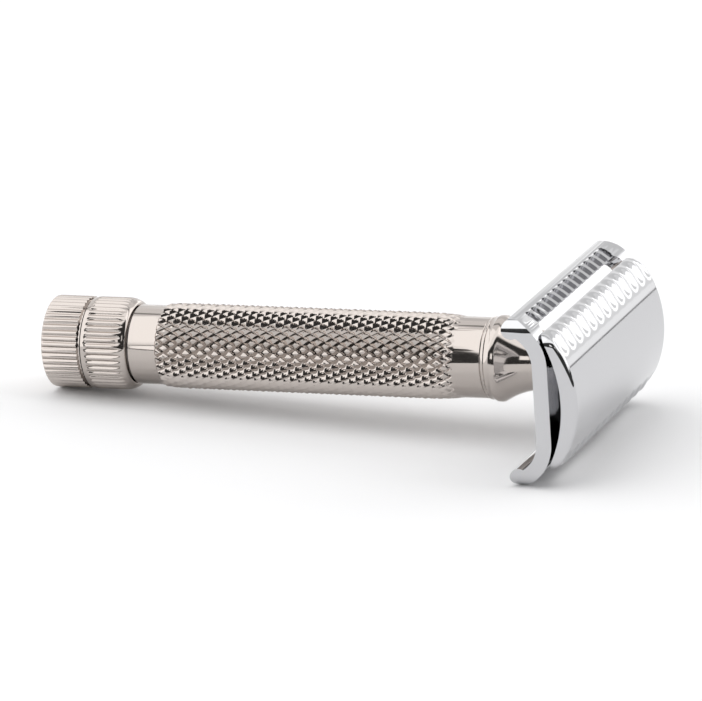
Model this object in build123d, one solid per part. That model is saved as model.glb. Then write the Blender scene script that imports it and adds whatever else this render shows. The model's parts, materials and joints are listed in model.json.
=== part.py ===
"""Twist-release safety razor: knurled handle, guard plate with notched bars and a fluted top cap.

Every piece is drawn in the razor's own axes, in millimetres: X runs up the handle from the
knob's end face to the head, Y runs along the blade's edges, Z runs across the head. The last
section lays the razor on a table, where it rests on the knob's rim and on one guard bar, with
its origin under the middle of its box.
"""
import math
import os

from build123d import *

# ---------------------------------------------------------------- driving dimensions
# knob
knob_length = 13.1
knob_radius = 6.76
knob_rim_round = 0.35
knob_groove_at = 5.6
knob_groove_width = 0.42
knob_groove_depth = 0.5
knob_land_length = 0.75
knob_land_chamfer = 0.3
knob_shoulder_length = 2.0
knob_flutes = 46
knob_flute_depth = 0.27
knob_flute_radius = 0.36
plug_radius = 4.6
plug_thickness = 1.4
knob_web = 2.4

# drive inside the handle
rod_radius = 2.0
rod_groove_depth = 0.3
key_width = 1.2
key_height = 1.2
key_length = 6.0
screw_shank_radius = 1.25
screw_head_radius = 2.5
screw_head_height = 1.25
screw_length = 7.5
screw_slot_width = 0.6
sleeve_radius = 3.15
sleeve_length = 14.2
sleeve_thread_depth = 8.2
sleeve_pin_radius = 0.5
clip_radius = 3.2
clip_thickness = 0.6
clip_opening_deg = 70.0
spring_washer_height = 0.9
spring_washer_thickness = 0.3
washer_thickness = 0.23
washer_radius = 5.3
rear_bush_length = 6.3
rear_bush_radius = 4.2

# handle barrel
rear_band_radius = 5.82
rear_band_length = 4.5
knurl_radius = 6.29
knurl_length = 44.2
knurl_end_drop = 0.2
knurl_end_taper = 3.0
knurl_bevel = 0.25
front_bevel = 1.8
front_band_radius = 5.86
front_band_length = 3.9
barrel_bore_radius = 3.6

# neck
neck_bead_length = 0.5
neck_bead_radius = 6.02
neck_collar_radius = 6.25
neck_collar_length = 2.1
neck_collar_rise = 0.9
neck_stem_radius = 4.25
neck_flare_length = 6.5
neck_length = 13.5
neck_foot_radius = 5.3
neck_foot_thickness = 1.4
neck_spigot_radius = 4.4
neck_spigot_length = 5.9

# guard plate
guard_length = 43.0
guard_thickness = 2.2
guard_flat_half = 5.6
guard_bend_radius = 7.0
guard_bend_deg = 70.0
guard_tip_radius = 1.4
guard_corner_round = 2.0
notch_count = 15
notch_pitch = 2.36
notch_width = 1.5
notch_length = 2.6
notch_depth = 0.7
notch_centre_deg = 56.8
opening_length = 36.4
opening_width = 2.9
opening_centre_deg = 35.9
bed_length = 29.0
bed_half_width = 7.4

# bush and dowel that hold the guard plate on the neck
bush_radius = 3.2
bush_flange_radius = 4.6
bush_flange_thickness = 0.8
bush_flange_sink = 0.65
bush_wall = 0.62
bush_depth = 3.3
dowel_radius = 0.6
dowel_offset = 4.75
dowel_bury = 0.9

# blade that the head is made for
blade_width = 22.0
blade_thickness = 0.1

# cap
cap_length = 41.7
cap_half_width = 9.95
cap_under_radius = 20.0
cap_rise = 1.52
cap_roof_radius = 16.2
cap_middle_thickness = 2.3
cap_corner_round = 1.7
cap_rim_round = 0.8
cap_flutes = 13
cap_flute_pitch = 3.2
cap_flute_radius = 2.6
cap_flute_depth = 0.4
cap_flute_reach = 2.1
stud_radius = 2.4
stud_bury = 1.4
stud_engaged = 4.2
peg_radius = 1.25
peg_offset = 10.0
peg_bury = 1.2
peg_tail = 2.2

# clearances
turn_gap = 0.06
slide_gap = 0.10
face_gap = 0.02
seat_gap = 0.05
sheet_gap = 0.03

# ---------------------------------------------------------------- stations along the handle
barrel_start = knob_length + washer_thickness + face_gap
knurl_start = barrel_start + rear_band_length
knurl_end = knurl_start + knurl_length
front_band_start = knurl_end + front_bevel
barrel_end = front_band_start + front_band_length
guard_back = barrel_end + neck_length
guard_face = guard_back + guard_thickness
under_crest = guard_face + cap_rise
roof_crest = under_crest + cap_middle_thickness
plate_centre = guard_face - guard_bend_radius
under_centre = under_crest - cap_under_radius
rear_bush_end = barrel_start + rear_bush_length
bush_tip = guard_back - bush_depth
sleeve_top = bush_tip - slide_gap
bed_radius = cap_under_radius - sheet_gap - blade_thickness - seat_gap
bush_flange_top = under_centre + bed_radius - bush_flange_sink
bush_flange_under = bush_flange_top - bush_flange_thickness
sleeve_start = sleeve_top - sleeve_length
stud_tip = sleeve_top - stud_engaged
web_end = plug_thickness + knob_web


def turned(points):
    """A solid of revolution about the handle axis from an (x, radius) outline."""
    return revolve(make_face(Polyline(*points, close=True)), Axis.X, 360)


def tube(start, end, outer, inner):
    """A plain hollow cylinder between two stations."""
    return turned([(start, inner), (end, inner), (end, outer), (start, outer)])


def rod(start, end, radius, y=0.0, z=0.0):
    """A solid cylinder along the handle axis, or beside it."""
    return Pos((start + end) / 2, y, z) * Rot(0, 90, 0) * Cylinder(radius, end - start)


def on_bend(angle_deg, radius, side=1):
    """A point in the (x, z) section of the guard's bend, at an angle and a radius about its centre."""
    angle = math.radians(angle_deg)
    return (plate_centre + radius * math.cos(angle), side * (guard_flat_half + radius * math.sin(angle)))


def bend_plane(angle_deg, side, y=0.0):
    """A plane on the bend's outer face: its normal points outwards, its x axis runs along Y."""
    angle = math.radians(angle_deg)
    x, z = on_bend(angle_deg, guard_bend_radius, side)
    normal = (math.cos(angle), 0, side * math.sin(angle))
    return Plane(origin=(x, y, z), x_dir=(0, 1, 0), z_dir=normal)


# ---------------------------------------------------------------- handle
def handle_barrel():
    """Brass tube: plain rear band, knurled grip with eased ends, bevel and plain front band."""
    grip_end_radius = knurl_radius - knurl_end_drop
    spigot_start = barrel_end - neck_spigot_length
    outline = [
        (barrel_start, rear_bush_radius),
        (barrel_start, rear_band_radius),
        (knurl_start - knurl_bevel, rear_band_radius),
        (knurl_start, grip_end_radius),
        (knurl_start + knurl_end_taper, knurl_radius),
        (knurl_end - knurl_end_taper, knurl_radius),
        (knurl_end, grip_end_radius),
        (front_band_start, front_band_radius),
        (barrel_end, front_band_radius),
        (barrel_end, neck_spigot_radius),
        (spigot_start, neck_spigot_radius),
        (spigot_start, barrel_bore_radius),
        (rear_bush_end, barrel_bore_radius),
        (rear_bush_end, rear_bush_radius),
    ]
    return turned(outline)


def neck_collar():
    """Turned neck: spigot inside the barrel, bead, collar, hollow flare and a foot for the plate."""
    start = barrel_end
    rise_start = start + neck_bead_length
    collar_start = rise_start + neck_collar_rise
    collar_end = start + neck_collar_length
    flare_end = collar_end + neck_flare_length
    foot_start = guard_back - neck_foot_thickness
    bore = sleeve_radius + slide_gap
    spigot_start = start - neck_spigot_length
    drop = neck_collar_radius - neck_stem_radius
    flare_radius = (neck_flare_length**2 + drop**2) / (2 * drop)
    middle_x = flare_end - neck_flare_length / 2
    middle_r = neck_stem_radius + flare_radius - math.sqrt(flare_radius**2 - (neck_flare_length / 2) ** 2)
    profile = [
        Polyline(
            (foot_start, neck_stem_radius),
            (foot_start, neck_foot_radius),
            (guard_back, neck_foot_radius),
            (guard_back, bush_radius),
            (sleeve_top, bush_radius),
            (sleeve_top, bore),
            (spigot_start, bore),
            (spigot_start, neck_spigot_radius - sheet_gap),
            (start, neck_spigot_radius - sheet_gap),
            (start, front_band_radius),
            (rise_start, neck_bead_radius),
            (collar_start, neck_collar_radius),
            (collar_end, neck_collar_radius),
        ),
        ThreePointArc(
            (collar_end, neck_collar_radius), (middle_x, middle_r), (flare_end, neck_stem_radius)
        ),
        Line((flare_end, neck_stem_radius), (foot_start, neck_stem_radius)),
    ]
    neck = revolve(make_face(profile), Axis.X, 360)
    return neck - rod(guard_back - dowel_bury, guard_back, dowel_radius, z=dowel_offset)


# ---------------------------------------------------------------- guard plate
def guard_section():
    """The plate's C-shaped section: a flat, two bends towards the handle and two round bars."""
    flat = Pos(guard_back + guard_thickness / 2, 0) * Rectangle(guard_thickness, 2 * guard_flat_half)
    section = flat
    inner = guard_bend_radius - guard_thickness
    for side in (1, -1):
        outline = [
            Line(on_bend(0, inner, side), on_bend(0, guard_bend_radius, side)),
            ThreePointArc(
                on_bend(0, guard_bend_radius, side),
                on_bend(guard_bend_deg / 2, guard_bend_radius, side),
                on_bend(guard_bend_deg, guard_bend_radius, side),
            ),
            Line(on_bend(guard_bend_deg, guard_bend_radius, side), on_bend(guard_bend_deg, inner, side)),
            ThreePointArc(
                on_bend(guard_bend_deg, inner, side),
                on_bend(guard_bend_deg / 2, inner, side),
                on_bend(0, inner, side),
            ),
        ]
        tip_centre = on_bend(guard_bend_deg, guard_bend_radius - guard_tip_radius, side)
        tip = Pos(*tip_centre) * Circle(guard_tip_radius)
        section += make_face(outline) + tip
    return section


def bar_cutters(side):
    """The long opening beside one bar, and the row of notches across the bar's outer face."""
    opening = bend_plane(opening_centre_deg, side) * SlotOverall(opening_length, opening_width)
    cutters = [extrude(opening, guard_bend_radius / 2, both=True)]
    for index in range(notch_count):
        y = (index - (notch_count - 1) / 2) * notch_pitch
        mouth = bend_plane(notch_centre_deg, side, y) * SlotOverall(notch_length, notch_width, rotation=90)
        cutters.append(extrude(mouth, notch_depth, both=True))
    return cutters


def guard_plate():
    """Cast guard plate with a crowned blade bed, two notched bars and its holes.

    Under the blade nothing stands above the bed's crown, so the bars stay clear of its edges.
    """
    plate = extrude(Plane.XZ * guard_section(), amount=guard_length / 2, both=True)
    bar_reach = on_bend(guard_bend_deg, guard_bend_radius - guard_tip_radius)[1] + guard_tip_radius
    plan = Plane.YZ * RectangleRounded(guard_length, 2 * bar_reach, guard_corner_round)
    plate &= extrude(plan, roof_crest)
    bed_root = guard_face - guard_thickness / 2
    bed_rise = roof_crest - bed_root
    plate += Pos(bed_root + bed_rise / 2, 0, 0) * Box(bed_rise, bed_length, 2 * bed_half_width)
    crown = Pos(under_centre, 0, 0) * Rot(90, 0, 0) * Cylinder(bed_radius, 2 * guard_length)
    plate -= Pos(roof_crest, 0, 0) * Box(2 * guard_bend_radius, 2 * guard_length, blade_width) - crown
    holes = [
        rod(bush_flange_under, roof_crest, bush_flange_radius + sheet_gap),
        rod(guard_back - 1, roof_crest, bush_radius + sheet_gap),
        rod(guard_back, guard_back + dowel_bury, dowel_radius, z=dowel_offset),
    ]
    holes += [rod(guard_back - 1, roof_crest, peg_radius + slide_gap, y=y) for y in (-peg_offset, peg_offset)]
    return plate - holes - bar_cutters(1) - bar_cutters(-1)


def guard_bush():
    """Hollow flanged screw that clamps the plate to the neck; the cap's stud passes through it."""
    inner = bush_radius - bush_wall
    return turned([
        (bush_tip, inner),
        (bush_flange_top, inner),
        (bush_flange_top, bush_flange_radius),
        (bush_flange_under, bush_flange_radius),
        (bush_flange_under, bush_radius),
        (bush_tip, bush_radius),
    ])


def guard_dowel():
    """Pin that stops the plate from turning on the neck."""
    return rod(guard_back - dowel_bury, guard_back + dowel_bury, dowel_radius, z=dowel_offset)


# ---------------------------------------------------------------- bearings
def rear_bush():
    """Brass bush in the barrel's rear end that the rod turns in."""
    return tube(barrel_start, rear_bush_end, rear_bush_radius, rod_radius + turn_gap)


def thrust_washer():
    """Thin washer between the knob's front face and the barrel."""
    return tube(barrel_start - washer_thickness, barrel_start, washer_radius, rod_radius + turn_gap)


# ---------------------------------------------------------------- turning parts
def knob_flute_cutters():
    """Straight flutes round both rings of the knob, stopping at the groove's land."""
    depth_centre = knob_radius + knob_flute_radius - knob_flute_depth
    second_start = knob_groove_at + knob_groove_width + knob_land_length
    cutters = []
    for start, end in ((-1, knob_groove_at), (second_start, knob_length + 1)):
        bar = rod(start, end, knob_flute_radius, z=depth_centre)
        for index in range(knob_flutes):
            cutters.append(Rot(index * 360 / knob_flutes, 0, 0) * bar)
    return cutters


def twist_knob():
    """Knob of two fluted rings with a groove between them and a rounded front shoulder."""
    shoulder_start = knob_length - knob_shoulder_length
    foot = rear_band_radius
    groove_end = knob_groove_at + knob_groove_width
    groove_floor = knob_radius - knob_groove_depth
    rim_centre = knob_radius - knob_rim_round
    diagonal = knob_rim_round * math.sqrt(0.5)
    bore = rod_radius + sheet_gap
    profile = [
        ThreePointArc(
            (0, rim_centre),
            (knob_rim_round - diagonal, rim_centre + diagonal),
            (knob_rim_round, knob_radius),
        ),
        Polyline(
            (knob_rim_round, knob_radius),
            (knob_groove_at, knob_radius),
            (knob_groove_at, groove_floor),
            (groove_end, groove_floor),
            (groove_end, knob_radius - knob_land_chamfer),
            (groove_end + knob_land_length, knob_radius),
            (shoulder_start, knob_radius),
        ),
        EllipticalCenterArc(
            (shoulder_start, foot), knob_shoulder_length, knob_radius - foot, start_angle=0, arc_size=90
        ),
        Polyline(
            (knob_length, foot),
            (knob_length, bore),
            (web_end, bore),
            (web_end, screw_shank_radius + sheet_gap),
            (plug_thickness + screw_head_height, screw_shank_radius + sheet_gap),
            (plug_thickness, screw_head_radius + sheet_gap),
            (plug_thickness, plug_radius + sheet_gap),
            (0, plug_radius + sheet_gap),
            (0, rim_centre),
        ),
    ]
    knob = revolve(make_face(profile), Axis.X, 360)
    return knob - drive_key() - knob_flute_cutters()


def knob_end_plug():
    """Disc that closes the knob's end, flush with its rim."""
    return rod(0, plug_thickness, plug_radius)


def knob_screw():
    """Slotted countersunk screw that holds the knob on the rod."""
    screw = turned([
        (plug_thickness, 0),
        (plug_thickness, screw_head_radius),
        (plug_thickness + screw_head_height, screw_shank_radius),
        (plug_thickness + screw_length, screw_shank_radius),
        (plug_thickness + screw_length, 0),
    ])
    slot = Box(2 * screw_slot_width, 3 * screw_head_radius, screw_slot_width)
    return screw - Pos(plug_thickness, 0, 0) * slot


def drive_key():
    """Key between the rod and the knob."""
    centre_x = web_end + key_length / 2
    return Pos(centre_x, 0, rod_radius) * Box(key_length, key_width, key_height)


def draw_rod():
    """Steel rod from the knob to the threaded sleeve, with a keyway, a clip groove and a tapped end."""
    end = sleeve_top - sleeve_thread_depth
    clip_start = rear_bush_end + spring_washer_height + face_gap
    shaft = rod(web_end, end, rod_radius)
    groove_floor = rod_radius - rod_groove_depth
    shaft -= tube(clip_start, clip_start + clip_thickness, rod_radius + 1, groove_floor)
    shaft -= rod(web_end, plug_thickness + screw_length, screw_shank_radius)
    shaft -= drive_key()
    return shaft - sleeve_pin()


def draw_sleeve():
    """Sleeve with an inside thread that pulls the cap's stud down."""
    thread_start = sleeve_top - sleeve_thread_depth
    sleeve = turned([
        (sleeve_start, rod_radius),
        (thread_start, rod_radius),
        (thread_start, stud_radius + turn_gap),
        (sleeve_top, stud_radius + turn_gap),
        (sleeve_top, sleeve_radius),
        (sleeve_start, sleeve_radius),
    ])
    return sleeve - sleeve_pin()


def sleeve_pin():
    """Cross pin that locks the sleeve to the rod."""
    centre = sleeve_start + (sleeve_length - sleeve_thread_depth) / 2
    length = 2 * math.sqrt(sleeve_radius**2 - sleeve_pin_radius**2)
    return Pos(centre, 0, 0) * Cylinder(sleeve_pin_radius, length)


def rod_clip():
    """Snap ring in the rod's groove, in front of the spring washer."""
    start = rear_bush_end + spring_washer_height + face_gap
    ring = tube(start, start + clip_thickness, clip_radius, rod_radius - rod_groove_depth)
    half = math.radians(clip_opening_deg / 2)
    reach = 2 * clip_radius
    wedge = make_face(Polyline(
        (0, 0), (reach, reach * math.tan(half)), (reach, -reach * math.tan(half)), close=True
    ))
    gap = extrude(Plane.YZ.offset(start - 1) * wedge, clip_thickness + 2)
    return ring - gap


def spring_washer():
    """Coned washer that keeps the rod and the knob from rattling."""
    start = rear_bush_end + face_gap
    end = start + spring_washer_height
    inner = rod_radius + turn_gap
    lip = spring_washer_height - spring_washer_thickness
    return turned([
        (start, clip_radius),
        (start + spring_washer_thickness, clip_radius),
        (end, inner + spring_washer_thickness / 2),
        (end, inner),
        (start + lip, inner),
    ])


# ---------------------------------------------------------------- cap
def flute_cutter(side, y):
    """A round-ended cutter that lies along the roof near one long edge."""
    path_radius = cap_roof_radius + cap_flute_radius - cap_flute_depth
    centre_x = roof_crest - cap_roof_radius
    edge_deg = math.degrees(math.asin(cap_half_width / cap_roof_radius))
    inner_deg = edge_deg - math.degrees(cap_flute_reach / cap_roof_radius)
    middle_deg = (edge_deg + inner_deg) / 2
    middle = math.radians(middle_deg)
    run = cap_flute_reach * 2
    direction = (-math.sin(middle), 0, side * math.cos(middle))
    inner = math.radians(inner_deg)
    start = (centre_x + path_radius * math.cos(inner), y, side * path_radius * math.sin(inner))
    plane = Plane(origin=start, z_dir=direction)
    bar = plane * Pos(0, 0, run / 2) * Cylinder(cap_flute_radius, run)
    return bar + Pos(*start) * Sphere(cap_flute_radius)


def top_cap():
    """Cast cap: arched roof, hollowed underside, rounded rims and flutes along both long edges."""
    roof_centre = roof_crest - cap_roof_radius
    roof = Pos(roof_centre, 0, 0) * Rot(90, 0, 0) * Cylinder(cap_roof_radius, cap_length)
    plan = Plane.YZ * RectangleRounded(cap_length, 2 * cap_half_width, cap_corner_round)
    cap = roof & Pos(roof_centre, 0, 0) * extrude(plan, 2 * cap_roof_radius)
    cap -= Pos(under_centre, 0, 0) * Rot(90, 0, 0) * Cylinder(cap_under_radius, 2 * cap_length)
    cap = fillet(cap.faces().sort_by(Axis.X)[-1].edges(), cap_rim_round)
    cap -= rod(stud_tip, under_crest + stud_bury, stud_radius)
    for y in (-peg_offset, peg_offset):
        cap -= rod(stud_tip, under_crest + peg_bury, peg_radius, y=y)
    cutters = []
    for index in range(cap_flutes):
        y = (index - (cap_flutes - 1) / 2) * cap_flute_pitch
        for side in (1, -1):
            cutters.append(flute_cutter(side, y))
    return cap - cutters


def cap_stud():
    """Threaded stud pressed into the cap's underside."""
    return rod(stud_tip, under_crest + stud_bury, stud_radius)


def cap_pegs():
    """Two pegs that line up the cap, the blade and the plate."""
    tip = guard_back - peg_tail
    pegs = [rod(tip, under_crest + peg_bury, peg_radius, y=y) for y in (-peg_offset, peg_offset)]
    return Compound(children=pegs)


# ---------------------------------------------------------------- laying the razor down
def lie_angle():
    """Slope of the handle when the knob's rim and one guard bar touch the table."""
    bar_x, bar_z = on_bend(guard_bend_deg, guard_bend_radius - guard_tip_radius)
    run = bar_x - knob_rim_round
    rise = bar_z - (knob_radius - knob_rim_round)
    extra = guard_tip_radius - knob_rim_round
    return math.atan2(rise, run) + math.asin(extra / math.hypot(run, rise))


def build_all():
    """Every node's solid in the razor's own axes."""
    makers = [
        handle_barrel, neck_collar, guard_plate, guard_bush, guard_dowel, rear_bush, thrust_washer,
        twist_knob, knob_end_plug, knob_screw, drive_key, draw_rod, draw_sleeve, sleeve_pin,
        rod_clip, spring_washer, top_cap, cap_stud, cap_pegs,
    ]
    return {maker.__name__: maker() for maker in makers}


pieces = build_all()
tilt = Rot(0, -math.degrees(lie_angle()), 0)
tilted = {name: tilt * piece for name, piece in pieces.items()}
whole = Compound(children=[Compound(piece.wrapped) for piece in tilted.values()]).bounding_box()
rest = Pos(-(whole.min.X + whole.max.X) / 2, -(whole.min.Y + whole.max.Y) / 2, -whole.min.Z)

os.makedirs("parts", exist_ok=True)
for name, piece in tilted.items():
    export_step(rest * piece, f"parts/{name}.step")
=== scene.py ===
"""Twist-release safety razor: the looks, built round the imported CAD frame.

Sizes are in millimetres in the razor's own axes until place() turns them into metres in the
frame that every piece shares: x runs up the handle from the knob's end face, y along the guard
bars, z across the head.
"""
import json
import math

import bmesh
import bpy
import numpy as np
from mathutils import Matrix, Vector


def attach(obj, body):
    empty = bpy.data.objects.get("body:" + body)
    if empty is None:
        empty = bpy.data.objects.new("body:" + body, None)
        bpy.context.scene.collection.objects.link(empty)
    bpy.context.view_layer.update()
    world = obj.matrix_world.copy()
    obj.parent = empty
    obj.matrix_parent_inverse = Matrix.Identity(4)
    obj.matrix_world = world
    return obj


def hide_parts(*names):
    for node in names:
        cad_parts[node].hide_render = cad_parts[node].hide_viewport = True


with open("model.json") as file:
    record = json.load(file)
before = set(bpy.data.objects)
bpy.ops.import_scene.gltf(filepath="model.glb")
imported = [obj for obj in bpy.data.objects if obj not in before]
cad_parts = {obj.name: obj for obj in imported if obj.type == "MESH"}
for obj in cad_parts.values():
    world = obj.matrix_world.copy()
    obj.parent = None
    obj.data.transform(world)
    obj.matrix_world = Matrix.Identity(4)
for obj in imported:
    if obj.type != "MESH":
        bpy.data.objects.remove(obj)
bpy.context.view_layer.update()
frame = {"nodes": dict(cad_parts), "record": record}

# ---------------------------------------------------------------- handle barrel
# A brass tube, turned, knurled with two crossing sets of thirty grooves and nickel plated.
# The plain bands at its ends are turned after the knurl, and so is the bevel in front of it.
# The neck's spigot is pressed into its front end and the rear bush into its back end.
MM = 0.001
stand_end = frame["record"]["mounts"][0]
knob_face = np.array(stand_end["pos_m"])
handle_way = -np.array(stand_end["axis"])
blade_way = np.array([0.0, 1.0, 0.0])
across_way = np.cross(handle_way, blade_way)


def place(x, y, z):
    """The row's frame: knob face + x along the handle + y along the blade + z across the head."""
    x, y, z = np.broadcast_arrays(x, y, z)
    along = np.multiply.outer(x, handle_way) + np.multiply.outer(y, blade_way)
    return knob_face + MM * (along + np.multiply.outer(z, across_way))


def cad_points(node):
    """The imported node's points in razor axes, in millimetres: one row of x, y, z for each."""
    mesh = frame["nodes"][node].data
    points = np.empty(3 * len(mesh.vertices))
    mesh.vertices.foreach_get("co", points)
    away = (points.reshape(-1, 3) - knob_face) / MM
    return np.stack([away @ handle_way, away @ blade_way, away @ across_way], axis=1)


def cad_span(node):
    """Where a node starts and ends along the handle."""
    along = cad_points(node)[:, 0]
    return along.min(), along.max()


def surface(name, points, faces, material, crease=35.0):
    """A mesh from arrays of points and faces, smooth but for edges sharper than crease."""
    mesh = bpy.data.meshes.new(name)
    mesh.from_pydata(points.reshape(-1, 3).tolist(), [], faces.tolist())
    mesh.update()
    mesh.polygons.foreach_set("use_smooth", np.ones(len(mesh.polygons), bool))
    mesh.set_sharp_from_angle(angle=math.radians(crease))
    mesh.materials.append(material)
    piece = bpy.data.objects.new(name, mesh)
    bpy.context.scene.collection.objects.link(piece)
    return piece


def ring_faces(rows, columns):
    """Quads of a grid that closes on itself both ways, as a bored turned piece does."""
    row = np.arange(rows)[:, None]
    column = np.arange(columns)[None, :]
    next_row = (row + 1) % rows
    next_column = (column + 1) % columns
    corners = [row * columns + column, row * columns + next_column,
               next_row * columns + next_column, next_row * columns + column]
    return np.stack(np.broadcast_arrays(*corners), axis=-1).reshape(-1, 4)


def split_quads(faces, heights):
    """Each quad as two triangles, cut along the diagonal whose ends are nearer in height."""
    ends = heights.reshape(-1)[faces]
    first = np.abs(ends[:, 0] - ends[:, 2]) <= np.abs(ends[:, 1] - ends[:, 3])
    one = np.where(first[:, None], faces[:, [0, 1, 2]], faces[:, [1, 2, 3]])
    two = np.where(first[:, None], faces[:, [0, 2, 3]], faces[:, [1, 3, 0]])
    return np.concatenate([one, two])


clouds_per_metre = 260


def plated(name, colour, roughness, haze):
    """Polished metal whose roughness drifts in soft clouds, from roughness to roughness + haze."""
    material = bpy.data.materials.new(name)
    material.use_nodes = True
    tree = material.node_tree
    shader = tree.nodes["Principled BSDF"]
    shader.inputs["Base Color"].default_value = (*colour, 1)
    shader.inputs["Metallic"].default_value = 1
    place_on = tree.nodes.new("ShaderNodeTexCoord")
    cloud = tree.nodes.new("ShaderNodeTexNoise")
    cloud.inputs["Scale"].default_value = clouds_per_metre
    cloud.inputs["Detail"].default_value = 3
    polish = tree.nodes.new("ShaderNodeMapRange")
    polish.inputs["From Min"].default_value = 0.3
    polish.inputs["From Max"].default_value = 0.7
    polish.inputs["To Min"].default_value = roughness
    polish.inputs["To Max"].default_value = roughness + haze
    tree.links.new(place_on.outputs["Object"], cloud.inputs["Vector"])
    tree.links.new(cloud.outputs["Fac"], polish.inputs["Value"])
    tree.links.new(polish.outputs["Result"], shader.inputs["Roughness"])
    return material


nickel_tone = (0.50, 0.455, 0.425)
nickel = plated("nickel_plate", nickel_tone, 0.06, 0.05)

barrel_start, barrel_end = cad_span("handle_barrel")
rear_band_radius = 5.82
rear_band_length = 4.5
knurl_radius = 6.29
knurl_length = 44.2
knurl_end_drop = 0.2
knurl_end_taper = 3.0
knurl_bevel = 0.25
knurl_starts = 30
knurl_helix_deg = 30
knurl_depth = 0.50
knurl_crest = 0.90
front_bevel = 1.8
front_band_radius = 5.86
barrel_bore_radius = 3.6
neck_spigot_radius = 4.4
neck_spigot_length = 5.9
rear_bush_radius = 4.2
rear_bush_length = 6.3
edge_break = 0.08
samples_per_groove = 8
bevel_rows = 8
helix_pitch = 2 * math.pi * knurl_radius / knurl_starts / math.tan(math.radians(knurl_helix_deg))
knurl_rows = round(knurl_length * samples_per_groove / helix_pitch)
knurl_start = barrel_start + rear_band_length
knurl_end = knurl_start + knurl_length


def groove(turn):
    """Height over one groove's pitch: 0 in the valley, rising straight to 1 on the crest's flat."""
    to_valley = 2 * np.abs((turn + 0.5) % 1.0 - 0.5)
    return np.minimum(to_valley / knurl_crest, 1)


grip_end_radius = knurl_radius - knurl_end_drop
outline = np.array([
    (barrel_start, rear_band_radius - edge_break), (barrel_start + edge_break, rear_band_radius),
    (knurl_start - knurl_bevel, rear_band_radius), (knurl_start, grip_end_radius),
    (knurl_start + knurl_end_taper, knurl_radius), (knurl_end - knurl_end_taper, knurl_radius),
    (knurl_end, grip_end_radius), (knurl_end + front_bevel, front_band_radius),
    (barrel_end - edge_break, front_band_radius), (barrel_end, front_band_radius - edge_break),
])
grip_x = np.linspace(knurl_start, knurl_end, knurl_rows + 1)
lead_x = np.concatenate([outline[:3, 0], [knurl_start - knurl_bevel / 2]])
bevel_x = np.linspace(knurl_end, knurl_end + front_bevel, bevel_rows + 1)[1:]
tail_x = np.concatenate([bevel_x, outline[-2:, 0]])
outer_x = np.concatenate([lead_x, grip_x, tail_x])
outer_r = np.interp(outer_x, outline[:, 0], outline[:, 1])
columns = knurl_starts * samples_per_groove
around = 2 * np.pi * np.arange(columns) / columns
lap = knurl_starts * around[None, :] / (2 * np.pi)
run = ((outer_x - knurl_start) / (knurl_length / knurl_rows * samples_per_groove))[:, None]
diamonds = np.minimum(groove(lap + run), groove(lap - run))
cut_radius = knurl_radius - knurl_depth * (1 - diamonds)
# The knurl's grooves also cut the bevels at its ends, but not the plain bands.
knurled = (outer_x >= knurl_start - knurl_bevel) & (outer_x <= knurl_end + front_bevel)
outer = np.where(knurled[:, None], np.minimum(outer_r[:, None], cut_radius), outer_r[:, None])
spigot_floor = barrel_end - neck_spigot_length
bush_floor = barrel_start + rear_bush_length
bore_x = np.repeat([barrel_end, spigot_floor, bush_floor, barrel_start], [1, 2, 2, 1])
bore_r = np.repeat([neck_spigot_radius, barrel_bore_radius, rear_bush_radius], 2)
barrel_x = np.concatenate([outer_x, bore_x])
barrel_r = np.concatenate([outer, np.repeat(bore_r[:, None], columns, axis=1)])
barrel_points = place(barrel_x[:, None], barrel_r * np.cos(around), barrel_r * np.sin(around))
barrel_faces = split_quads(ring_faces(*barrel_r.shape)[:, ::-1], barrel_r)
barrel = surface("knurled_barrel", barrel_points, barrel_faces, nickel, crease=22.0)
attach(barrel, "handle")
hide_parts("handle_barrel")

# ---------------------------------------------------------------- rear bush and thrust washer
# The bush is turned from brass and pressed into the barrel's back end; the rod turns in it. The
# washer is blanked from steel and lies loose between the barrel and the knob.
def lathe_marks(material, measure, pitch, depth):
    """Adds even tool rings, in millimetres, along the handle or outwards from its axis."""
    tree = material.node_tree
    spot = tree.nodes["Texture Coordinate"]
    away = tree.nodes.new("ShaderNodeVectorMath")
    away.operation = "SUBTRACT"
    away.inputs[1].default_value = knob_face
    project = tree.nodes.new("ShaderNodeVectorMath")
    project.operation = "DOT_PRODUCT" if measure == "along" else "CROSS_PRODUCT"
    project.inputs[1].default_value = handle_way
    tree.links.new(spot.outputs["Object"], away.inputs[0])
    tree.links.new(away.outputs["Vector"], project.inputs[0])
    if measure == "along":
        distance = project.outputs["Value"]
    else:
        size = tree.nodes.new("ShaderNodeVectorMath")
        size.operation = "LENGTH"
        tree.links.new(project.outputs["Vector"], size.inputs[0])
        distance = size.outputs["Value"]
    turn = tree.nodes.new("ShaderNodeMath")
    turn.operation = "MULTIPLY"
    turn.inputs[1].default_value = 2 * math.pi / (pitch * MM)
    ring = tree.nodes.new("ShaderNodeMath")
    ring.operation = "SINE"
    bump = tree.nodes.new("ShaderNodeBump")
    bump.inputs["Distance"].default_value = depth * MM
    tree.links.new(distance, turn.inputs[0])
    tree.links.new(turn.outputs[0], ring.inputs[0])
    tree.links.new(ring.outputs[0], bump.inputs["Height"])
    tree.links.new(bump.outputs["Normal"], tree.nodes["Principled BSDF"].inputs["Normal"])
    return material


def finish(node, material):
    """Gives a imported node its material; its shape stays as packed."""
    coats = frame["nodes"][node].data.materials
    coats.clear()
    coats.append(material)


brass = lathe_marks(plated("turned_brass", (0.62, 0.48, 0.25), 0.2, 0.1), "along", 0.12, 0.004)
steel = lathe_marks(plated("turned_steel", (0.42, 0.42, 0.43), 0.22, 0.1), "along", 0.10, 0.003)
blanked = plated("blanked_steel", (0.40, 0.40, 0.41), 0.3, 0.12)
finish("rear_bush", brass)
finish("thrust_washer", blanked)

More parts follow.
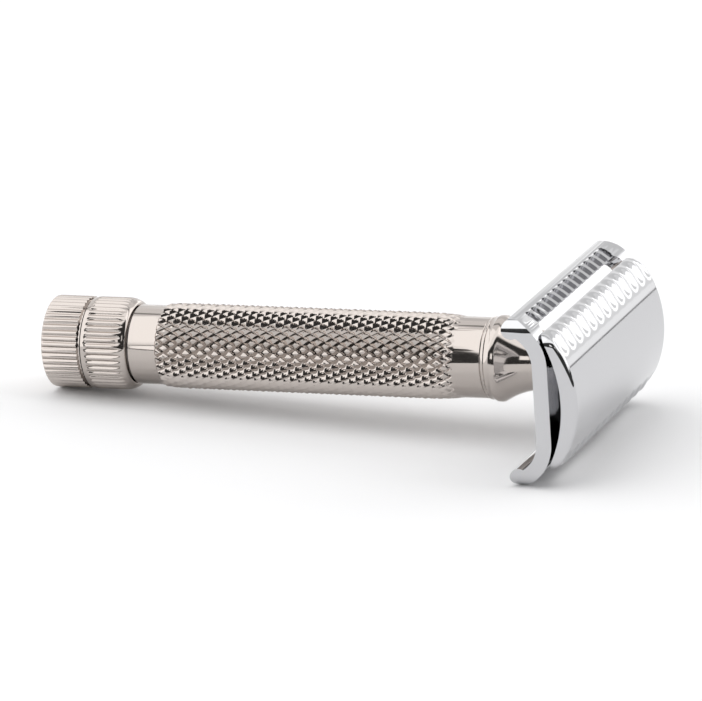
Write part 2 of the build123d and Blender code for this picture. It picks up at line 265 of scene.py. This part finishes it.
# ---------------------------------------------------------------- neck collar
# A turned brass neck, nickel plated: a bead against the barrel, a collar, a hollow flare and a
# foot that carries the guard plate. Its spigot is pressed into the barrel.
spigot_start, neck_end = cad_span("neck_collar")
neck_start = barrel_end
bead_length = 0.5
bead_radius = 6.02
bead_sag = 0.03
bead_groove = 0.08
collar_radius = 6.25
collar_rise = 0.9
collar_length = 2.1
flare_length = 6.5
stem_radius = 4.25
foot_radius = 5.3
foot_thickness = 1.4
neck_bore_radius = 3.25
bush_seat_radius = 3.2
bush_seat_depth = 3.4
press_gap = 0.03
flare_rows = 33


def turned(name, outline, material, columns=160):
    """A closed outline of (x, radius) points, outside first, swept once round the handle's axis."""
    x, radius = np.array(outline).T
    turn = 2 * np.pi * np.arange(columns) / columns
    wide = np.repeat(radius[:, None], columns, axis=1)
    points = place(x[:, None], wide * np.cos(turn), wide * np.sin(turn))
    return surface(name, points, ring_faces(len(x), columns)[:, ::-1], material, crease=28.0)


def arc(start, end, sag, count):
    """Points of a circular arc between two (x, radius) points whose middle is sag off the chord."""
    start, end = np.array(start), np.array(end)
    chord = end - start
    length = np.hypot(*chord)
    radius = (length**2 / 4 + sag**2) / (2 * abs(sag))
    half = math.asin(length / 2 / radius)
    angles = np.linspace(-half, half, count)
    along = radius * np.sin(angles) + length / 2
    off = (radius * np.cos(angles) - radius * math.cos(half)) * np.sign(sag)
    unit = chord / length
    normal = np.array([-unit[1], unit[0]])
    return [tuple(start + a * unit + o * normal) for a, o in zip(along, off)]


collar_end = neck_start + collar_length
flare_end = collar_end + flare_length
flare_drop = collar_radius - stem_radius
flare_radius = (flare_length**2 + flare_drop**2) / (2 * flare_drop)
flare_x = np.linspace(collar_end, flare_end, flare_rows)
flare_r = stem_radius + flare_radius - np.sqrt(flare_radius**2 - (flare_end - flare_x)**2)
neck_outline = [
    (spigot_start, neck_spigot_radius - press_gap), (neck_start, neck_spigot_radius - press_gap),
    (neck_start, front_band_radius - edge_break), (neck_start + edge_break, front_band_radius),
]
bead_end = neck_start + bead_length
rise_end = bead_end + collar_rise
foot_start = neck_end - foot_thickness
seat_floor = neck_end - bush_seat_depth
neck_outline += arc((neck_start + edge_break, front_band_radius), (bead_end, bead_radius), bead_sag, 4)[1:]
neck_outline += [(bead_end + bead_groove, bead_radius - bead_groove)]
neck_outline += arc((bead_end + 2 * bead_groove, bead_radius), (rise_end, collar_radius), -2 * bead_sag, 7)
neck_outline += [(collar_end - edge_break, collar_radius)]
neck_outline += list(zip(flare_x, flare_r))[1:]
neck_outline += [
    (foot_start, stem_radius), (foot_start, foot_radius - edge_break),
    (foot_start + edge_break, foot_radius), (neck_end, foot_radius),
    (neck_end, bush_seat_radius), (seat_floor, bush_seat_radius),
    (seat_floor, neck_bore_radius), (spigot_start, neck_bore_radius),
]
neck = turned("neck", neck_outline, nickel)
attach(neck, "handle")
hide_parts("neck_collar")

# ---------------------------------------------------------------- twist knob
# A brass knob, nickel plated, of two rings with forty-six straight flutes each and a plain groove
# between them. It is keyed to the draw rod, held by a screw under its end plug, and turned by hand.
knob_end = cad_span("twist_knob")[1]
knob_radius = 6.76
knob_rim_round = 0.35
knob_groove_at = 5.6
knob_groove_width = 0.42
knob_groove_depth = 0.5
knob_land_length = 0.75
knob_land_chamfer = 0.3
knob_land_ease = 0.25
groove_edge = 0.06
knob_shoulder_length = 2.0
knob_flutes = 46
flute_depth = 0.27
flute_runout = 0.45
knob_plug_radius = 4.63
knob_plug_depth = 1.4
knob_bore_radius = 2.03
columns_per_flute = 12
flute_sharpness = 1.5

knob_columns = knob_flutes * columns_per_flute
turn_of_column = 2 * np.pi * np.arange(knob_columns) / knob_columns
wave = 0.5 + 0.5 * np.cos(knob_flutes * turn_of_column)
depth_of_column = flute_depth * wave**flute_sharpness

groove_end = knob_groove_at + knob_groove_width
land_end = groove_end + knob_land_length
shoulder_start = knob_end - knob_shoulder_length
shoulder = np.linspace(0, np.pi / 2, 14)
shoulder_drop = knob_radius - rear_band_radius
rim = np.linspace(0, np.pi / 2, 6)
groove_floor = knob_radius - knob_groove_depth
# Each point of the outline is x, radius and how much of the flutes' depth is cut there.
knob_outline = [(knob_rim_round * (1 - math.sin(q)), knob_radius - knob_rim_round * (1 - math.cos(q)), 1)
                for q in rim[::-1]]
knob_outline += [
    (knob_groove_at - groove_edge, knob_radius, 1), (knob_groove_at, knob_radius - groove_edge, 1),
    (knob_groove_at, groove_floor, 0), (groove_end, groove_floor, 0),
    (groove_end, knob_radius - knob_land_chamfer, 0),
    (groove_end + knob_land_ease, knob_radius - edge_break, 0),
]
knob_outline += [(land_end + flute_runout * q, knob_radius, 0.5 - 0.5 * math.cos(math.pi * q))
                 for q in np.linspace(0, 1, 6)]
knob_outline += [(x, knob_radius, 1) for x in np.linspace(land_end + flute_runout, shoulder_start, 6)[1:]]
knob_outline += [(shoulder_start + knob_shoulder_length * math.sin(q),
                  rear_band_radius + shoulder_drop * math.cos(q), 1) for q in shoulder[1:]]
knob_outline += [(knob_end, knob_bore_radius, 0), (knob_plug_depth, knob_bore_radius, 0),
                 (knob_plug_depth, knob_plug_radius, 0), (0, knob_plug_radius, 0)]
knob_x, knob_r, knob_cut = np.array(knob_outline).T
fluted = knob_radius - knob_cut[:, None] * depth_of_column[None, :]
knob_grid = np.where(knob_cut[:, None] > 0, np.minimum(knob_r[:, None], fluted), knob_r[:, None])
knob_points = place(knob_x[:, None], knob_grid * np.cos(turn_of_column), knob_grid * np.sin(turn_of_column))
knob = surface("fluted_knob", knob_points, ring_faces(*knob_grid.shape)[:, ::-1], nickel, crease=32.0)
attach(knob, "knob")
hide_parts("twist_knob")

# ---------------------------------------------------------------- knob end plug, screw and key
# The plug is a faced disc, nickel plated like the knob, and closes its end. Under it a slotted steel
# screw holds the knob on the draw rod, and a square key between them carries the turning force.
faced = lathe_marks(plated("faced_nickel", nickel_tone, 0.10, 0.06), "outwards", 0.16, 0.002)
finish("knob_end_plug", faced)
finish("knob_screw", steel)
finish("drive_key", blanked)

# ---------------------------------------------------------------- draw rod and sleeve
# A steel rod runs from the knob through the barrel. Its threaded sleeve, cross-pinned to it, draws
# the cap down. A snap ring and a coned washer of spring steel hold it against the rear bush.
spring_steel = plated("spring_steel", (0.20, 0.21, 0.24), 0.28, 0.12)
finish("draw_rod", steel)
finish("draw_sleeve", steel)
finish("sleeve_pin", steel)
finish("rod_clip", spring_steel)
finish("spring_washer", spring_steel)

# ---------------------------------------------------------------- guard plate
# A zinc casting, chrome plated: a flat with two bends that end in round bars. Each bend has a long
# opening that lather is rinsed through, and fifteen notches above it. Its edges are tumbled.
chrome_tone = (0.56, 0.56, 0.572)
chrome = plated("chrome_plate", chrome_tone, 0.035, 0.03)
tumbled_round = 0.22


def tumbled(name, node, width, material):
    """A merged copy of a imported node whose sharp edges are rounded, as tumbling leaves a casting."""
    work = bmesh.new()
    work.from_mesh(frame["nodes"][node].data)
    bmesh.ops.remove_doubles(work, verts=work.verts, dist=2e-7)
    bmesh.ops.dissolve_limit(work, angle_limit=math.radians(0.3), verts=work.verts, edges=work.edges)
    mesh = bpy.data.meshes.new(name)
    work.to_mesh(mesh)
    work.free()
    mesh.polygons.foreach_set("use_smooth", np.ones(len(mesh.polygons), bool))
    mesh.set_sharp_from_angle(angle=math.radians(28))
    mesh.materials.clear()
    mesh.materials.append(material)
    piece = bpy.data.objects.new(name, mesh)
    bpy.context.scene.collection.objects.link(piece)
    rounding = piece.modifiers.new("tumbled_edges", "BEVEL")
    rounding.limit_method = "ANGLE"
    rounding.angle_limit = math.radians(32)
    rounding.width = width * MM
    rounding.segments = 2
    rounding.harden_normals = True
    return piece


guard = tumbled("guard", "guard_plate", tumbled_round, chrome)
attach(guard, "handle")
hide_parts("guard_plate")

# ---------------------------------------------------------------- guard bush and dowel
# A hollow flanged screw of brass, chrome plated, clamps the plate to the neck, and the cap's stud
# passes through it. A small steel dowel beside it keeps the plate from turning.
turned_chrome = lathe_marks(plated("turned_chrome", chrome_tone, 0.08, 0.05), "outwards", 0.14, 0.002)
finish("guard_bush", turned_chrome)
finish("guard_dowel", steel)

# ---------------------------------------------------------------- top cap
# A zinc casting, chrome plated and buffed: an arched roof over a hollowed underside, with
# rounded rims and thirteen round-ended flutes milled along each long edge.
cap_points_at_rest = cad_points("top_cap")
roof_crest = cap_points_at_rest[:, 0].max()
cap_half_length = cap_points_at_rest[:, 1].max()
cap_half_width = cap_points_at_rest[:, 2].max()
roof_radius = 16.2
under_radius = 20.0
cap_thickness = 2.3
cap_corner = 1.7
cap_rim = 0.8
cap_flutes = 13
cap_flute_pitch = 3.2
cap_flute_radius = 2.6
cap_flute_depth = 0.4
cap_flute_reach = 2.1
flute_blend = 0.09
cap_step = 0.17
cap_rim_rows = 9


def spaced(half, step, rim, fine):
    """Stations from -half to half: evenly spaced inside, closer together in the rims at both ends."""
    inside = np.linspace(-(half - rim), half - rim, 2 * round((half - rim) / step) + 1)
    edge = half - rim * np.cos(np.linspace(0, np.pi / 2, fine + 1)[1:])
    return np.concatenate([-edge[::-1], inside, edge])


def squared_corner(y, z, half_y, half_z, radius):
    """A grid point of a rectangle moved onto a rounded one: each corner square becomes a quarter disc."""
    over_y = np.abs(y) - (half_y - radius)
    over_z = np.abs(z) - (half_z - radius)
    corner = (over_y > 0) & (over_z > 0)
    away = np.where(corner, np.hypot(over_y, over_z), 1)
    reach = np.where(corner, np.maximum(over_y, over_z) / away, 1)
    new_y = np.where(corner, np.sign(y) * (half_y - radius + over_y * reach), y)
    new_z = np.where(corner, np.sign(z) * (half_z - radius + over_z * reach), z)
    return new_y, new_z


def inset(y, z, half_y, half_z, radius):
    """Distance of a point inside a rounded rectangle from its outline."""
    over_y = np.abs(y) - (half_y - radius)
    over_z = np.abs(z) - (half_z - radius)
    outside = np.hypot(np.maximum(over_y, 0), np.maximum(over_z, 0))
    return radius - outside - np.minimum(np.maximum(over_y, over_z), 0)


cap_y, cap_z = np.meshgrid(spaced(cap_half_length, cap_step, cap_rim, cap_rim_rows),
                           spaced(cap_half_width, cap_step, cap_rim, cap_rim_rows), indexing="ij")
cap_y, cap_z = squared_corner(cap_y, cap_z, cap_half_length, cap_half_width, cap_corner)
to_rim = np.clip(cap_rim - inset(cap_y, cap_z, cap_half_length, cap_half_width, cap_corner), 0, cap_rim)
roof_x = roof_crest - roof_radius + np.sqrt(roof_radius**2 - cap_z**2)
roof_x = roof_x - (cap_rim - np.sqrt(cap_rim**2 - to_rim**2))
nearest = np.round(cap_y / cap_flute_pitch)
nearest = np.clip(nearest, -(cap_flutes // 2), cap_flutes // 2)
off_flute = cap_y - nearest * cap_flute_pitch
edge_angle = math.asin(cap_half_width / roof_radius)
slope_angle = np.arcsin(np.clip(np.abs(cap_z) / roof_radius, 0, 1))
short_of_start = np.maximum(edge_angle - cap_flute_reach / roof_radius - slope_angle, 0) * roof_radius
from_axis = off_flute**2 + short_of_start**2
bite = np.sqrt(np.maximum(cap_flute_radius**2 - from_axis, 0)) - (cap_flute_radius - cap_flute_depth)
bite = (bite + np.sqrt(bite**2 + flute_blend**2)) / 2 - flute_blend / 40
roof_x = roof_x - np.maximum(bite, 0)
under_crest = roof_crest - cap_thickness
under_x = under_crest - under_radius + np.sqrt(under_radius**2 - cap_z**2)


def pillow_faces(rows, columns):
    """Faces of a closed body of two grids, a top and a bottom, joined round their borders by a wall."""
    row = np.arange(rows - 1)[:, None]
    column = np.arange(columns - 1)[None, :]
    first = row * columns + column
    top = np.stack([first, first + 1, first + columns + 1, first + columns], axis=-1).reshape(-1, 4)
    bottom = top[:, ::-1] + rows * columns
    last = (rows - 1) * columns
    edge = np.concatenate([np.arange(columns - 1), np.arange(rows - 1) * columns + columns - 1,
                           np.arange(columns - 1, 0, -1) + last, np.arange(rows - 1, 0, -1) * columns])
    after = np.roll(edge, -1)
    wall = np.stack([after, edge, edge + rows * columns, after + rows * columns], axis=-1)
    return np.concatenate([top, bottom, wall])


cap_body = np.stack([place(roof_x, cap_y, cap_z), place(under_x, cap_y, cap_z)])
cap = surface("arched_cap", cap_body, pillow_faces(*cap_y.shape)[:, ::-1], chrome, crease=40.0)
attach(cap, "cap")
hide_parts("top_cap")

# ---------------------------------------------------------------- cap stud and pegs
# The stud and the two pegs are turned from brass, chrome plated and pressed into the cap. The pegs
# line up the cap, the blade and the plate; the stud's thread is drawn down by the sleeve.
finish("cap_stud", turned_chrome)
finish("cap_pegs", turned_chrome)

# ---------------------------------------------------------------- studio
# A white table under an overhead softbox, with softboxes to the left and right and a lit wall
# behind. The room in front is dark, which gives the plating its dark reflections.
table_size = 6.0
floor_mesh = bpy.data.meshes.new("table")
half = table_size / 2
corners = [(-half, -half, 0), (half, -half, 0), (half, half, 0), (-half, half, 0)]
floor_mesh.from_pydata(corners, [], [(0, 1, 2, 3)])
floor = bpy.data.objects.new("table", floor_mesh)
bpy.context.scene.collection.objects.link(floor)
paint = bpy.data.materials.new("white_table")
paint.use_nodes = True
coat = paint.node_tree.nodes["Principled BSDF"]
coat.inputs["Base Color"].default_value = (0.92, 0.92, 0.925, 1)
coat.inputs["Roughness"].default_value = 0.9
coat.inputs["Specular IOR Level"].default_value = 0.1
floor_mesh.materials.append(paint)

world = bpy.data.worlds.new("studio")
world.use_nodes = True
bpy.context.scene.world = world
sky = world.node_tree
for old in list(sky.nodes):
    sky.nodes.remove(old)


def step(tree, value, low, high, at_low, at_high):
    """A smooth step of a value from one level to another."""
    node = tree.nodes.new("ShaderNodeMapRange")
    node.interpolation_type = "SMOOTHSTEP"
    for socket, number in zip(("From Min", "From Max", "To Min", "To Max"), (low, high, at_low, at_high)):
        node.inputs[socket].default_value = number
    tree.links.new(value, node.inputs["Value"])
    return node.outputs["Result"]


def sums(tree, kind, first, second):
    """One arithmetic node; either side is a socket or a number."""
    node = tree.nodes.new("ShaderNodeMath")
    node.operation = kind
    for socket, value in zip(node.inputs, (first, second)):
        if isinstance(value, (int, float)):
            socket.default_value = value
        else:
            tree.links.new(value, socket)
    return node.outputs[0]


# The way a ray leaves: its turn from straight ahead (azimuth) and from straight behind, in
# radians, its elevation, and where it would cross a ceiling one metre up.
ways = sky.nodes.new("ShaderNodeTexCoord")
parts = sky.nodes.new("ShaderNodeSeparateXYZ")
sky.links.new(ways.outputs["Generated"], parts.inputs[0])
way_x, way_y, way_z = parts.outputs
height = sums(sky, "MAXIMUM", way_z, 0.02)
back_slope = sums(sky, "DIVIDE", way_y, height)
side_slope = sums(sky, "DIVIDE", way_x, height)
azimuth = sums(sky, "ARCTAN2", way_x, sums(sky, "MULTIPLY", way_y, -1.0))
behind = sums(sky, "ARCTAN2", sums(sky, "MULTIPLY", way_x, -1.0), way_y)
elevation = sums(sky, "ARCSINE", way_z, 0.0)


def patch(turn, left, right, low, high, soft):
    """A mask that is 1 inside a range of turn and elevation, in degrees, with soft edges."""
    sides = sums(sky, "MULTIPLY", step(sky, turn, math.radians(left - soft), math.radians(left), 0, 1),
                 step(sky, turn, math.radians(right), math.radians(right + soft), 1, 0))
    ends = sums(sky, "MULTIPLY", step(sky, elevation, math.radians(low - soft), math.radians(low), 0, 1),
                step(sky, elevation, math.radians(high), math.radians(high + soft), 1, 0))
    return sums(sky, "MULTIPLY", sides, ends)


def painted(level, mask, new_level):
    """The level with a new level painted in where the mask is 1."""
    rest = sums(sky, "MULTIPLY", level, sums(sky, "SUBTRACT", 1.0, mask))
    return sums(sky, "ADD", rest, sums(sky, "MULTIPLY", mask, new_level))


overhead_edge = sums(sky, "SUBTRACT", back_slope, sums(sky, "MULTIPLY", side_slope, 1.2))
overhead = step(sky, overhead_edge, -0.90, -0.72, 0.05, 1.56)
ceiling_gap = sums(sky, "MULTIPLY", step(sky, back_slope, 0.40, 0.46, 0, 1),
                   step(sky, back_slope, 0.54, 0.62, 1, 0))
left_softbox = patch(azimuth, -115, -24.2, -2, 90, 1.5)
right_softbox = patch(azimuth, 94, 152, 14, 62, 5)
back_wall = patch(behind, -33, 60, -2, 90, 5)
strip_light = patch(behind, -52, 0, 7.5, 19, 2.0)
wall_foot = patch(behind, -60, 60, 1.0, 3.2, 0.8)
table_edge = patch(behind, -60, 60, -1.5, 0.35, 0.2)
wall_shade = patch(behind, -15, 24, 20, 34, 4)
front_lamp = patch(azimuth, -5, 9, 15, 27, 1.5)
side_lamp = patch(azimuth, 37, 48, 21, 31, 2)
level = overhead
for mask, brightness in ((left_softbox, 1.75), (right_softbox, 1.95), (back_wall, 1.10),
                         (ceiling_gap, 0.37), (strip_light, 1.95), (wall_foot, 1.32),
                         (table_edge, 0.42), (wall_shade, 0.88), (front_lamp, 1.6), (side_lamp, 1.0)):
    level = painted(level, mask, brightness)
glow = sky.nodes.new("ShaderNodeBackground")
glow.inputs["Color"].default_value = (1, 1, 1, 1)
sky.links.new(level, glow.inputs["Strength"])
sky_out = sky.nodes.new("ShaderNodeOutputWorld")
sky.links.new(glow.outputs[0], sky_out.inputs["Surface"])

# ---------------------------------------------------------------- camera
# A long lens a little above the table, to the right of the razor's middle. It aims at a point of
# the handle's axis, shifted a little in its own picture plane.
camera_azimuth = math.radians(20.11)
camera_elevation = math.radians(17.73)
camera_distance = 0.9145
camera_lens = 323.6
aim_along = 45.0
aim_right = 0.976
aim_up = 0.196
back = Vector((math.sin(camera_azimuth) * math.cos(camera_elevation),
               -math.cos(camera_azimuth) * math.cos(camera_elevation), math.sin(camera_elevation)))
right = Vector((math.cos(camera_azimuth), math.sin(camera_azimuth), 0))
up = back.cross(right)
aim = Vector(place(aim_along, 0.0, 0.0)) + MM * (aim_right * right + aim_up * up)
camera_data = bpy.data.cameras.new("camera")
camera_data.sensor_width = 36
camera_data.lens = camera_lens
camera_data.clip_start = 0.01
camera = bpy.data.objects.new("camera", camera_data)
bpy.context.scene.collection.objects.link(camera)
camera.location = aim + camera_distance * back
camera.rotation_euler = back.to_track_quat("Z", "Y").to_euler()
bpy.context.scene.camera = camera
bpy.context.scene.view_settings.view_transform = "Standard"
